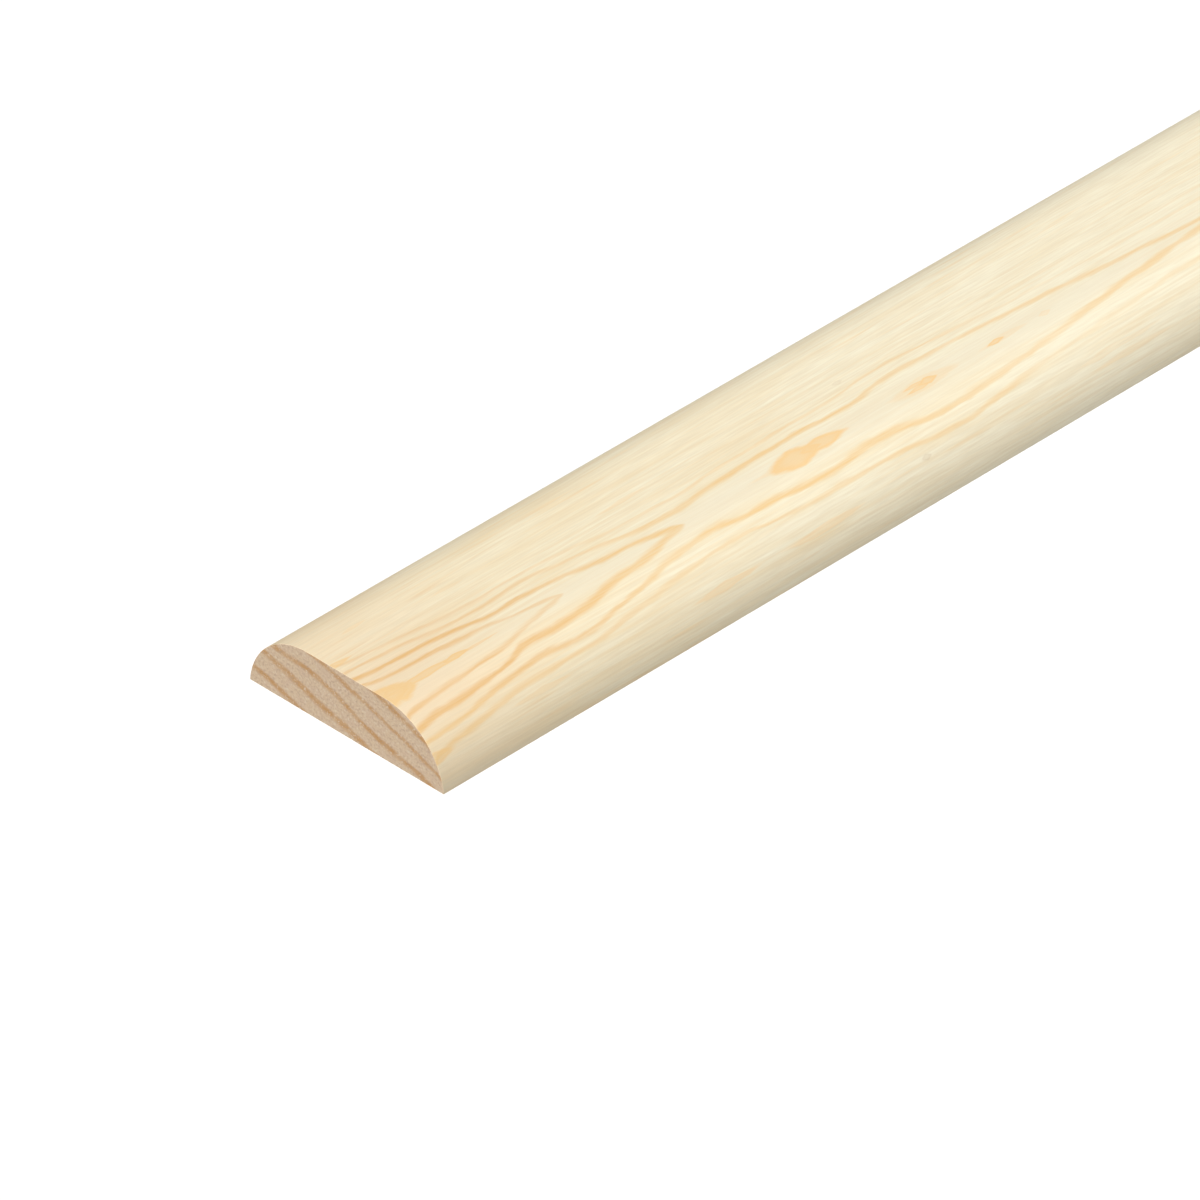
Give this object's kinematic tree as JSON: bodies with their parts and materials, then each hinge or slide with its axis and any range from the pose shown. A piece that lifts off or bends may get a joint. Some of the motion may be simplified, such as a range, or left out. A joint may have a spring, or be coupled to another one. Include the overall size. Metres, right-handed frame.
{
  "type": "d-shaped moulding",
  "caption": "Long pine trim strip with a flat back, a flat crown and round shoulders, for covering joints and edging panels.",
  "frame": {"origin": "middle of the flat back, on the floor that the moulding lies on", "axes": "+X along the length, +Y across the width, +Z out of the flat back through the crown"},
  "size_m": [2.4, 0.033, 0.009],
  "materials": {
    "planed_pine": "planed and unfinished"
  },
  "bodies": {
    "root": {"d_moulding": "planed_pine"}
  },
  "joints": []
}
